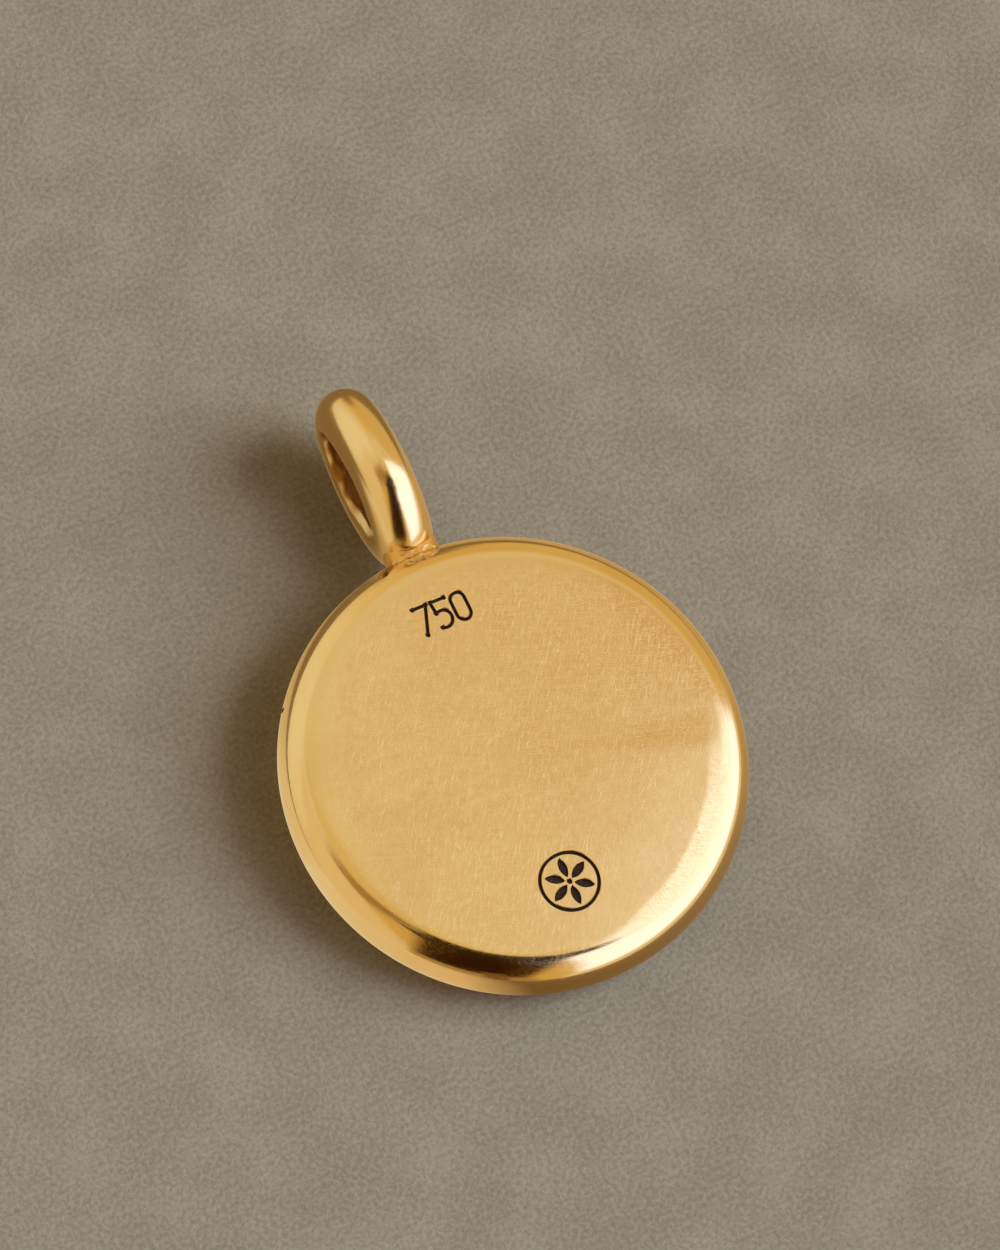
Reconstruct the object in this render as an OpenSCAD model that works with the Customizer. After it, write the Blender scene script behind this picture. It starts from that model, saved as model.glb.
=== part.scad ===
/* [Disc] */
// Diameter of the disc over its round rim
disc_d = 16; // [13:0.5:20]
// Thickness of the disc at its two edge ridges
disc_t = 2.2; // [1.8:0.1:2.8]
// Angle between a face and the rim where they meet
ridge_angle = 13; // [8:1:20]
// How far the flat middle of the back stands above its ridge
back_rise = 0.05; // [0.03:0.01:0.08]
// Width of the border over which the back rolls down to its ridge
roll_w = 2; // [1.5:0.1:2.5]

/* [Bail] */
// Radius of the eye's two long sides, which set its length and height
eye_side_r = 2.9; // [2.4:0.05:3.4]
// Radius of the eye's two tight ends
eye_end_r = 0.25; // [0.15:0.05:0.5]
// Width of the bail's wire, along the way a chain passes
wire_w = 2; // [1.6:0.1:2.2]
// Distance from the wire's widest line to its flat inner face
wire_flat = 0.5; // [0.4:0.05:0.6]
// Radius of the wire's two inner corners
wire_corner_r = 0.3; // [0.2:0.05:0.35]
// How deep the end of the ring sits in the disc's rim
bail_sink = 0.3; // [0.2:0.05:0.45]
// How far the ring's middle lies in front of the disc's mid-plane
bail_drop = 0.1; // [0:0.05:0.3]

/* [Solder joint] */
// Diameter of the neck between the rim and the ring
neck_d = 1.75; // [1.5:0.05:1.9]
// Diameter of the solder collar where it meets the disc's face
collar_d = 2.15; // [2:0.05:2.2]
// How far the collar stands out of the rim
collar_h = 0.3; // [0.2:0.05:0.4]

/* [Marks on the back] */
// Depth of the punched marks
mark_depth = 0.12; // [0.08:0.01:0.2]
// Distance from the disc's edge at the bail to the middle of the number row
number_inset = 2.5; // [2.2:0.1:3]
// Sideways place of the middle of the number row
number_x = -0.2; // [-0.4:0.1:0.4]
// Height of the numbers
number_h = 1; // [0.8:0.05:1.2]
// Width of one number
number_w = 0.5; // [0.4:0.05:0.6]
// Gap between neighbouring numbers
number_gap = 0.17; // [0.14:0.01:0.25]
// Radius of the five's bowl
bowl_r = 0.31; // [0.26:0.01:0.34]
// Width of the punch's stroke
stroke_w = 0.1; // [0.08:0.01:0.12]
// Diameter of the dots that end the strokes
dot_d = 0.15; // [0.13:0.01:0.18]
// Distance from the disc's far edge to the middle of the rosette
rosette_inset = 3.35; // [3:0.1:3.8]
// Sideways place of the middle of the rosette
rosette_x = -0.35; // [-0.6:0.05:0.6]
// Diameter over the rosette's ring
rosette_d = 2.1; // [1.8:0.1:2.4]
// Width of the rosette's ring
rosette_ring_w = 0.1; // [0.08:0.01:0.14]
// Gap between the ring and the petals' tips
petal_gap = 0.1; // [0.08:0.01:0.14]
// Distance from the rosette's middle to the petals' inner tips
petal_start = 0.16; // [0.14:0.01:0.2]
// Width of a petal at its middle
petal_w = 0.27; // [0.2:0.01:0.3]

/* [Hidden] */
$fn = 96;
// Number of sides of the one very large circle in the disc's section
roll_sides = 256;
// Number of petals of the rosette
petals = 6;
// Angle from the right at which the five's bowl starts and ends
bowl_open = 120;
// Far enough past the disc's back for every punch
clear = 1;
// Turn of the disc's seam about its axis
seam_turn = 1.7;

disc_r = disc_d / 2;
rim_r = disc_t / 2 / cos(ridge_angle);
core_r = disc_r - rim_r;
ridge_r = core_r + rim_r * sin(ridge_angle);
flat_r = ridge_r - roll_w;
roll_r = (roll_w * roll_w + back_rise * back_rise) / 2 / back_rise;
back_z = disc_t / 2 + back_rise;

// The ring's middle line is an oval of two tight end arcs and two long side arcs. They meet
// where the slope is that of a 3-4-5 triangle, so that every centre is a round number.
wire_r = wire_w / 2;
joint_y = 0.6;
joint_z = 0.8;
joint_angle = atan2(joint_z, joint_y);
end_r = eye_end_r + wire_flat;
side_r = eye_side_r + wire_flat;
end_y = (side_r - end_r) * joint_y;
side_z = (side_r - end_r) * joint_z;
half_len = end_y + end_r;
half_h = side_r - side_z;
ring_y = disc_r + wire_r + half_len - bail_sink;
foot_y = ring_y - half_len;

// The part rests on its front ridge and on the lower strand of the bail
rest_dy = ring_y + ridge_r;
rest_dz = disc_t / 2 - bail_drop + side_z;
rest_reach = norm([rest_dy, rest_dz]);
rest_tilt = asin((side_r + wire_r) / rest_reach) - atan2(rest_dz, rest_dy);
rest_z = ridge_r * sin(rest_tilt) + disc_t / 2 * cos(rest_tilt);
near_y = core_r * cos(rest_tilt) + rim_r;
far_y = (ring_y + end_y) * cos(rest_tilt) + bail_drop * sin(rest_tilt) + end_r + wire_r;
rest_y = (near_y - far_y) / 2;

// Half of the disc's section: flat front, full round rim, and a back that rolls down to its ridge
module disc_section() {
    intersection() {
        union() {
            translate([core_r, 0]) circle(r = rim_r);
            translate([0, -disc_t]) square([core_r, 2 * disc_t]);
        }
        translate([0, -disc_t / 2]) square([disc_d, 2 * disc_t]);
        union() {
            translate([flat_r, back_z - roll_r]) circle(r = roll_r, $fn = roll_sides);
            translate([0, -disc_t]) square([flat_r, disc_t + back_z]);
        }
    }
}

// The seam is turned a little, so that the mesh of the round front ridge stands on an edge, not on a corner
module disc() {
    rotate([0, 0, seam_turn]) rotate_extrude() disc_section();
}

// The wire's section beside the ring's axis: half round outside, flat with round corners inside
module wire_section(middle_r) {
    corner_r = min(wire_corner_r, wire_flat);
    translate([middle_r, 0]) {
        intersection() {
            circle(r = wire_r);
            translate([0, -wire_r]) square([wire_r, wire_w]);
        }
        translate([corner_r - wire_flat, -wire_r]) square([wire_flat - corner_r, wire_w]);
        translate([-wire_flat, corner_r - wire_r]) square([wire_flat, wire_w - 2 * corner_r]);
        for (side = [-1, 1])
            translate([corner_r - wire_flat, side * (wire_r - corner_r)]) circle(r = corner_r);
    }
}

// A quarter of the oval: half of one long side arc, and half of one tight end arc
module ring_quarter() {
    translate([0, -side_z]) rotate_extrude(start = joint_angle, angle = 90 - joint_angle) wire_section(side_r);
    translate([end_y, 0]) rotate_extrude(angle = joint_angle) wire_section(end_r);
}

module ring_half() {
    ring_quarter();
    mirror([0, 1, 0]) ring_quarter();
}

// The closed oval, in the plane that stands across the disc
module bail_ring() {
    translate([0, ring_y, -bail_drop])
        rotate([90, 0, 90]) {
            ring_half();
            mirror([1, 0, 0]) ring_half();
        }
}

// The neck runs from inside the rim to the middle of the ring's wire, through a small solder collar
module neck() {
    translate([0, core_r, 0]) rotate([-90, 0, 0]) cylinder(d = neck_d, h = foot_y - core_r);
    translate([0, core_r + rim_r / 2, 0]) rotate([-90, 0, 0])
        cylinder(d1 = collar_d, d2 = neck_d, h = rim_r / 2 + collar_h);
}

// A straight stroke of the punch with a round dot at each end
module stroke(a, b) {
    run = b - a;
    translate(a) circle(d = dot_d);
    translate(b) circle(d = dot_d);
    translate(a) rotate(atan2(run.y, run.x)) translate([0, -stroke_w / 2]) square([norm(run), stroke_w]);
}

// A bar with round ends along Y, for the two outlines of the nought
module long_round(w, h) {
    for (side = [-1, 1]) translate([0, side * (h - w) / 2]) circle(d = w);
    square([w, h - w], center = true);
}

module digit_seven() {
    right = number_w / 2;
    top = number_h / 2;
    stroke([-right, top], [right, top]);
    stroke([right, top], [-right / 2, -top]);
}

module digit_five() {
    right = number_w / 2;
    top = number_h / 2;
    bowl = [right - bowl_r, bowl_r - top];
    open_x = bowl_r * cos(bowl_open);
    open_y = bowl_r * sin(bowl_open);
    stroke([right, top], [-right, top]);
    stroke([-right, top], bowl + [open_x, open_y]);
    translate(bowl) {
        difference() {
            circle(r = bowl_r + stroke_w / 2);
            circle(r = bowl_r - stroke_w / 2);
            translate([open_x - number_w, -number_h]) square([number_w, 2 * number_h]);
        }
        translate([open_x, -open_y]) circle(d = dot_d);
    }
}

module digit_nought() {
    difference() {
        long_round(number_w + stroke_w, number_h + stroke_w);
        long_round(number_w - stroke_w, number_h - stroke_w);
    }
}

module number_row() {
    pitch = number_w + number_gap;
    translate([-pitch, 0]) digit_seven();
    digit_five();
    translate([pitch, 0]) digit_nought();
}

// A plain compass rosette: lens-shaped petals round a dot, inside a thin ring
module rosette() {
    petal_end = rosette_d / 2 - rosette_ring_w - petal_gap;
    half = (petal_end - petal_start) / 2;
    arc_r = (half * half + petal_w * petal_w / 4) / petal_w;
    circle(r = petal_start / 2);
    for (i = [0 : petals - 1])
        rotate(i * 360 / petals)
            translate([0, petal_start + half])
                intersection() {
                    translate([arc_r - petal_w / 2, 0]) circle(r = arc_r);
                    translate([petal_w / 2 - arc_r, 0]) circle(r = arc_r);
                }
    difference() {
        circle(r = rosette_d / 2);
        circle(r = rosette_d / 2 - rosette_ring_w);
    }
}

module punch(x, y) {
    translate([x, y, back_z - mark_depth]) linear_extrude(mark_depth + clear) children();
}

// The whole soldered piece, with the disc's middle at the origin and its back up
module soldered() {
    difference() {
        union() {
            disc();
            bail_ring();
            neck();
        }
        punch(number_x, disc_r - number_inset) number_row();
        punch(rosette_x, rosette_inset - disc_r) rosette();
    }
}

// It rests by itself, back up, with the middle of its box over the origin
module pendant() {
    color("goldenrod")
        translate([0, rest_y, rest_z])
            rotate([rest_tilt, 0, 0])
                soldered();
}

pendant();
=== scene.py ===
"""A gold coin pendant that lies on its front on pale paper, seen from its back.

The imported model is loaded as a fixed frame, and the three pieces below take its place: the disc with its
punched marks, the oval bail, and the solder seam between them. Sizes are millimetres in the disc's own
frame, whose origin is the disc's middle, with +Z out of its back and +Y towards the bail. Rest turns them
into the frame of the model. Sizes inside materials are metres.
"""

from __future__ import annotations

import logging
import math
from dataclasses import dataclass, field
from enum import Enum
from typing import Any

import bmesh
import bpy
from mathutils import Matrix, Vector, noise


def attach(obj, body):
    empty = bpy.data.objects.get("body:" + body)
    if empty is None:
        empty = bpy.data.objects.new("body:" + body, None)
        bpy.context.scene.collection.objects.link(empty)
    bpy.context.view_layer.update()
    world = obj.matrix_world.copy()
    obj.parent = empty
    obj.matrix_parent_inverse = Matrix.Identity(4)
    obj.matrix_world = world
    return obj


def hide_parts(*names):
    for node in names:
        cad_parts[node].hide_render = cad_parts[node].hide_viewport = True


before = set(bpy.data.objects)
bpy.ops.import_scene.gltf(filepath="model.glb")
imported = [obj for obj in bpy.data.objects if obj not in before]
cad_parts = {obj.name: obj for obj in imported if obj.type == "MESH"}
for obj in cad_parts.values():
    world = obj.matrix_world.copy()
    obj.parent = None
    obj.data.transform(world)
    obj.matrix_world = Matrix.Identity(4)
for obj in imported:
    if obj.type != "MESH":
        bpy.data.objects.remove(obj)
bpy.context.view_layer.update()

MM = 0.001
BODY = "root"
NODE = "pendant"
MERGE_MM = 1e-4
# Mesh attribute that carries painted shade on the bail's eye and in the seam's crease.
SHADE_PAINT_ATTRIBUTE = "painted_shade"
AXIS_X = Vector((1, 0, 0))
AXIS_Y = Vector((0, 1, 0))
AXIS_Z = Vector((0, 0, 1))
FLOAT = "NodeSocketFloat"
VECTOR = "NodeSocketVector"

Rgb = tuple[float, float, float]
Rgba = tuple[float, float, float, float]
BLACK: Rgba = (0.0, 0.0, 0.0, 1.0)

log = logging.getLogger("coin_pendant")


class Zone(Enum):
    """Which part of the metal's surface a face belongs to, as its material index."""

    POLISHED = 0
    PUNCHED = 1


@dataclass(frozen=True)
class Rest:
    """How the pendant lies: on its front ridge and on the lower strand of the bail."""

    tilt_deg: float = 4.06553
    y: float = -3.1863
    z: float = 1.60238

    @property
    def matrix(self) -> Matrix:
        """The move from the disc's frame in millimetres to the model's frame in metres."""
        turn = Matrix.Rotation(math.radians(self.tilt_deg), 4, "X")
        return Matrix.Scale(MM, 4) @ Matrix.Translation((0, self.y, self.z)) @ turn

    def direction(self, vector: Vector) -> Vector:
        """Turns a direction from the disc's frame into the model's frame.

        Args:
            vector: The direction in the disc's frame.

        Returns:
            The same direction in the model's frame, one unit long.
        """
        return (self.matrix.to_3x3() @ vector).normalized()


@dataclass
class Pen:
    """Draws a chain of edges in a bmesh, with one operator call for each line or arc."""

    bm: bmesh.types.BMesh
    start: Vector
    normal: Vector

    def __post_init__(self) -> None:
        """Puts the chain's first vertex in place."""
        self.tip = bmesh.ops.create_vert(self.bm, co=self.start)["vert"][0]

    def line_to(self, end: Vector, steps: int = 1) -> None:
        """Draws a straight line.

        Args:
            end: Where the line ends.
            steps: Number of edges it is drawn with.
        """
        step = (end - self.tip.co) / steps
        for _ in range(steps):
            self.tip = bmesh.ops.extrude_vert_indiv(self.bm, verts=[self.tip])["verts"][0]
            bmesh.ops.translate(self.bm, verts=[self.tip], vec=step)

    def arc(self, centre: Vector, degrees: float, steps: int) -> None:
        """Draws an arc.

        Args:
            centre: The arc's centre.
            degrees: How far it turns about the pen's normal.
            steps: Number of edges it is drawn with.
        """
        made = bmesh.ops.spin(
            self.bm,
            geom=[self.tip],
            cent=centre,
            axis=self.normal,
            angle=math.radians(degrees),
            steps=steps,
        )
        self.tip = next(v for v in made["geom_last"] if isinstance(v, bmesh.types.BMVert))


def turn_round(bm: bmesh.types.BMesh, axis: Vector, steps: int) -> None:
    """Spins all that is drawn once round an axis through the origin, and merges what meets.

    Args:
        bm: The mesh.
        axis: The axis's direction.
        steps: Number of sides of the full turn.
    """
    bmesh.ops.spin(
        bm,
        geom=bm.verts[:] + bm.edges[:],
        cent=(0, 0, 0),
        axis=axis,
        angle=math.tau,
        steps=steps,
        use_merge=True,
    )
    bmesh.ops.remove_doubles(bm, verts=bm.verts[:], dist=MERGE_MM)


def eased(share: float) -> float:
    """Turns a share from 0 to 1 into one that starts and ends softly."""
    return share * share * (3 - 2 * share)


class Piece:
    """A piece of the pendant: a mesh in the model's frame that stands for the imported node."""

    def __init__(self, name: str, bm: bmesh.types.BMesh, materials: list[bpy.types.Material]) -> None:
        """Makes the object from a finished bmesh.

        Args:
            name: The piece's name.
            bm: Its mesh in the disc's frame. It is freed.
            materials: One material for each zone in use.
        """
        mesh = bpy.data.meshes.new(name)
        bmesh.ops.remove_doubles(bm, verts=bm.verts[:], dist=MERGE_MM)
        bmesh.ops.recalc_face_normals(bm, faces=bm.faces[:])
        bm.to_mesh(mesh)
        bm.free()
        for material in materials:
            mesh.materials.append(material)
        self.obj = bpy.data.objects.new(name, mesh)
        bpy.context.scene.collection.objects.link(self.obj)

    def cut(self, cutters: list[Piece]) -> None:
        """Cuts the punches out of the piece, merges the slivers of the cut, and removes the cutters.

        Args:
            cutters: Closed meshes, which may cross each other.
        """
        group = bpy.data.collections.new("punches")
        bpy.context.scene.collection.children.link(group)
        for cutter in cutters:
            group.objects.link(cutter.obj)
        modifier = self.obj.modifiers.new("punches", "BOOLEAN")
        modifier.operation = "DIFFERENCE"
        modifier.operand_type = "COLLECTION"
        modifier.collection = group
        modifier.solver = "EXACT"
        modifier.material_mode = "TRANSFER"
        depsgraph = bpy.context.evaluated_depsgraph_get()
        struck = bpy.data.meshes.new_from_object(self.obj.evaluated_get(depsgraph), depsgraph=depsgraph)
        self.obj.modifiers.clear()
        bm = bmesh.new()
        bm.from_mesh(struck)
        bmesh.ops.remove_doubles(bm, verts=bm.verts[:], dist=MERGE_MM)
        bmesh.ops.dissolve_degenerate(bm, edges=bm.edges[:], dist=MERGE_MM)
        bm.to_mesh(struck)
        bm.free()
        self.obj.data = struck
        for cutter in cutters:
            bpy.data.objects.remove(cutter.obj)
        bpy.data.collections.remove(group)

    def finish(self, rest: Rest, sharp_deg: float) -> None:
        """Places the piece, smooths its shading and hands it to the frame.

        Args:
            rest: How the pendant lies.
            sharp_deg: Edges that turn by more than this stay crisp.
        """
        mesh = self.obj.data
        mesh.transform(rest.matrix)
        mesh.shade_smooth()
        mesh.set_sharp_from_angle(angle=math.radians(sharp_deg))
        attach(self.obj, BODY)
        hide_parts(NODE)
        log.info("%s: %d faces", self.obj.name, len(mesh.polygons))


@dataclass(frozen=True)
class Roll:
    """How the hand-finished back rolls down to its ridge, in one direction from the middle."""

    azimuth_deg: float
    start_r: float
    crease_deg: float
    ridge_wear: float

    def towards(self, other: Roll, share: float) -> Roll:
        """Blends this roll into another.

        Args:
            other: The roll in a neighbouring direction.
            share: The other roll's share, from 0 to 1.

        Returns:
            The roll between them.
        """
        part = eased(share)
        return Roll(
            self.azimuth_deg,
            self.start_r + (other.start_r - self.start_r) * part,
            self.crease_deg + (other.crease_deg - self.crease_deg) * part,
            self.ridge_wear + (other.ridge_wear - self.ridge_wear) * part,
        )


@dataclass
class Disc:
    """The thick disc: flat front, full round rim, and a back that rolls down unevenly to a worn ridge."""

    diameter: float = 16.0
    thickness: float = 2.2
    ridge_deg: float = 13.0
    back_rise: float = 0.05
    crown_deg: float = 0.35
    roll_end_deg: float = 3.2
    crease_w: float = 0.2
    even_r: float = 4.4
    front_blend: float = 0.16
    blend_deg: float = 10.0
    turns: int = 360
    rim_steps: int = 56
    border_steps: int = 44
    height_steps: int = 16
    blend_steps: int = 6
    rolls: tuple[Roll, ...] = (
        Roll(0, 6.2, 0.4, 0.1),
        Roll(45, 6.0, 0.3, 0.1),
        Roll(90, 6.4, 0.4, 0.09),
        Roll(113, 6.7, 0.5, 0.05),
        Roll(160, 5.75, 1.0, 0.04),
        Roll(190, 6.1, 1.0, 0.04),
        Roll(212, 6.7, 0.8, 0.012),
        Roll(240, 6.9, 0.9, 0.008),
        Roll(265, 6.85, 1.2, 0.012),
        Roll(290, 6.45, 2.2, 0.03),
        Roll(310, 6.35, 2.3, 0.05),
        Roll(338, 6.35, 2.3, 0.06),
        Roll(352, 6.4, 0.8, 0.1),
    )

    @property
    def half_t(self) -> float:
        """Half of the thickness between the two ridges."""
        return self.thickness / 2

    @property
    def rim_r(self) -> float:
        """Radius of the round rim's section."""
        return self.half_t / math.cos(math.radians(self.ridge_deg))

    @property
    def core_r(self) -> float:
        """Distance from the axis to the centre of the rim's section."""
        return self.diameter / 2 - self.rim_r

    @property
    def ridge_r(self) -> float:
        """Distance from the axis to the two ridges."""
        return self.core_r + self.rim_r * math.sin(math.radians(self.ridge_deg))

    @property
    def back_z(self) -> float:
        """Height of the back's flat middle over the mid-plane."""
        return self.half_t + self.back_rise

    def section(self, bm: bmesh.types.BMesh) -> None:
        """Draws half of the disc's section, from the middle of the back to the middle of the front.

        The rim's last step is long enough to hold the blend of the front ridge.

        Args:
            bm: The mesh to draw in.
        """
        pen = Pen(bm, Vector((0, 0, self.half_t)), AXIS_Y)
        pen.line_to(Vector((self.even_r, 0, self.half_t)))
        pen.line_to(Vector((self.ridge_r, 0, self.half_t)), self.border_steps)
        rim_centre = Vector((self.core_r, 0, 0))
        pen.arc(rim_centre, 180 - 2 * self.ridge_deg - self.blend_deg, self.rim_steps)
        pen.arc(rim_centre, self.blend_deg, 1)
        pen.line_to(Vector((0, 0, -self.half_t)))

    def roll_at(self, azimuth_deg: float) -> Roll:
        """Finds the roll in any direction, between the two nearest of the list.

        Args:
            azimuth_deg: The direction, from +X towards +Y.

        Returns:
            The roll there.
        """
        azimuth = azimuth_deg % 360
        before = [roll for roll in self.rolls if roll.azimuth_deg <= azimuth][-1]
        after = self.rolls[(self.rolls.index(before) + 1) % len(self.rolls)]
        span = (after.azimuth_deg - before.azimuth_deg) % 360
        return before.towards(after, (azimuth - before.azimuth_deg) / span)

    def fall(self, radius: float, roll: Roll) -> float:
        """How far the back has fallen below its middle, summed up from its slope.

        Args:
            radius: Distance from the axis.
            roll: The roll in that direction.

        Returns:
            The fall in millimetres.
        """
        crown = math.radians(self.crown_deg) * radius**2 / 2 / self.ridge_r
        step = max(radius - roll.start_r, 0) / self.height_steps
        total = 0.0
        for i in range(self.height_steps):
            past = step * (i + 0.5)
            onward = past / (self.ridge_r - roll.start_r)
            slope = roll.crease_deg * eased(min(past / self.crease_w, 1))
            slope += (self.roll_end_deg - roll.crease_deg) * onward
            total += math.radians(slope) * step
        return crown + total

    def height(self, place: Vector) -> float:
        """Finds the height of the back or of the upper rim, with the ridge between them worn round.

        The wear is a parabola that takes a quarter of its reach off the sharp ridge.

        Args:
            place: A point over or on the disc.

        Returns:
            Its height over the mid-plane.
        """
        radius = place.xy.length
        roll = self.roll_at(math.degrees(math.atan2(place.y, place.x)))
        back = self.back_z - self.fall(radius, roll)
        rim = math.sqrt(max(self.rim_r**2 - max(radius - self.core_r, 0) ** 2, 0))
        near = max(roll.ridge_wear - abs(back - rim), 0) / roll.ridge_wear
        return min(back, rim) - near**2 * roll.ridge_wear / 4

    def build(self, materials: list[bpy.types.Material]) -> Piece:
        """Spins the section into the disc, blends the front ridge and rolls the back's border.

        Args:
            materials: The polished and the punched finish.

        Returns:
            The disc, still without its marks.
        """
        bm = bmesh.new()
        self.section(bm)
        turn_round(bm, AXIS_Z, self.turns)
        front_ridge = [e for e in bm.edges if all(self.on_front_ridge(v.co) for v in e.verts)]
        bmesh.ops.bevel(
            bm,
            geom=front_ridge,
            offset=self.front_blend,
            affect="EDGES",
            segments=self.blend_steps,
            profile=0.5,
            material=-1,
        )
        for vert in bm.verts:
            if vert.co.z > 0:
                vert.co.z = self.height(vert.co)
        return Piece("disc", bm, materials)

    def on_front_ridge(self, place: Vector) -> bool:
        """Tells whether a point of the spun section lies on the ridge between the front and the rim."""
        near_r = abs(place.xy.length - self.ridge_r) < MERGE_MM
        return near_r and abs(place.z + self.half_t) < MERGE_MM


@dataclass
class Bail:
    """The closed oval ring of half-round wire that a chain passes through."""

    eye_side_r: float = 2.96
    eye_end_r: float = 0.31
    wire_w: float = 2.0
    wire_flat: float = 0.44
    wire_corner_r: float = 0.38
    drop: float = 0.1
    middle_y: float = 11.04
    joint_deg: float = math.degrees(math.atan2(4, 3))
    side_steps: int = 48
    end_steps: int = 56
    round_steps: int = 56
    corner_steps: int = 12
    flat_steps: int = 12
    dent_mm: float = 0.09
    dent_mean: float = 0.5
    dent_size: float = 0.5
    # Painted shade on the eye's inner face: where it grows along the ring, its least amount, and how much
    # it rises in the dents.
    shade_from_y: float = -0.9
    shade_to_y: float = 0.9
    shade_least: float = 0.9
    shade_raised: float = 0.3

    @property
    def end_r(self) -> float:
        """Radius of the wire's middle line round the two tight ends."""
        return self.eye_end_r + self.wire_flat

    @property
    def side_r(self) -> float:
        """Radius of the wire's middle line along the two long sides."""
        return self.eye_side_r + self.wire_flat

    @property
    def end_y(self) -> float:
        """Distance from the ring's middle to the centres of its two ends."""
        return (self.side_r - self.end_r) * math.cos(math.radians(self.joint_deg))

    @property
    def side_z(self) -> float:
        """Distance from the ring's middle to the centres of its two sides."""
        return (self.side_r - self.end_r) * math.sin(math.radians(self.joint_deg))

    def section(self, bm: bmesh.types.BMesh) -> None:
        """Draws the wire's section round the far end of the ring, half round outside and flat inside.

        Args:
            bm: The mesh to draw in.
        """
        middle = Vector((0, self.end_y + self.end_r, 0))
        half = self.wire_w / 2
        corner = self.wire_corner_r
        flat = self.wire_flat
        corner_x = AXIS_X * (half - corner)
        corner_y = AXIS_Y * (corner - flat)
        pen = Pen(bm, middle - AXIS_X * half, -AXIS_Z)
        pen.arc(middle, 180, self.round_steps)
        pen.line_to(middle + AXIS_X * half + corner_y)
        pen.arc(middle + corner_x + corner_y, 90, self.corner_steps)
        pen.line_to(middle - corner_x - AXIS_Y * flat, self.flat_steps)
        pen.arc(middle - corner_x + corner_y, 90, self.corner_steps)
        pen.line_to(middle - AXIS_X * half)

    def build(self, materials: list[bpy.types.Material]) -> Piece:
        """Sweeps the section round the four arcs of the oval.

        Args:
            materials: The polished finish.

        Returns:
            The bail.
        """
        bm = bmesh.new()
        self.section(bm)
        far_end = AXIS_Y * self.end_y
        turn = Matrix.Rotation(math.radians(-self.joint_deg), 3, "X")
        bmesh.ops.rotate(bm, verts=bm.verts[:], cent=far_end, matrix=turn)
        geom = bm.verts[:] + bm.edges[:]
        side_deg = 180 - 2 * self.joint_deg
        arcs = [
            (far_end, 2 * self.joint_deg, self.end_steps),
            (-AXIS_Z * self.side_z, side_deg, self.side_steps),
            (-far_end, 2 * self.joint_deg, self.end_steps),
            (AXIS_Z * self.side_z, side_deg, self.side_steps),
        ]
        for centre, degrees, steps in arcs:
            geom = bmesh.ops.spin(
                bm, geom=geom, cent=centre, axis=AXIS_X, angle=math.radians(degrees), steps=steps
            )["geom_last"]
        bmesh.ops.remove_doubles(bm, verts=bm.verts[:], dist=MERGE_MM)
        bmesh.ops.recalc_face_normals(bm, faces=bm.faces[:])
        self.dent(bm)
        bmesh.ops.translate(bm, verts=bm.verts[:], vec=(0, self.middle_y, -self.drop))
        return Piece("bail", bm, materials)

    def dent(self, bm: bmesh.types.BMesh) -> None:
        """Leaves shallow hammer dents on the eye's flat inner face, and paints brown shade on it, most in
        its far half.

        Args:
            bm: The ring round the origin, with its normals outward.
        """
        bm.normal_update()
        shade_paint = bm.verts.layers.float.new(SHADE_PAINT_ATTRIBUTE)
        normals = {vert: vert.normal.copy() for vert in bm.verts}
        for vert, normal in normals.items():
            inward = -normal.yz.dot(vert.co.yz) / vert.co.yz.length
            if inward > 0:
                depth = self.dent_mean + noise.noise(vert.co / self.dent_size)
                far = (vert.co.y - self.shade_from_y) / (self.shade_to_y - self.shade_from_y)
                amount = self.shade_least + min(max(far, 0), 1)
                # Painted shade: darker on the inner face, towards the far end and in deeper dents.
                vert[shade_paint] = inward * amount * (self.shade_raised + depth)
                vert.co -= normal * self.dent_mm * depth * inward**2


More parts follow.
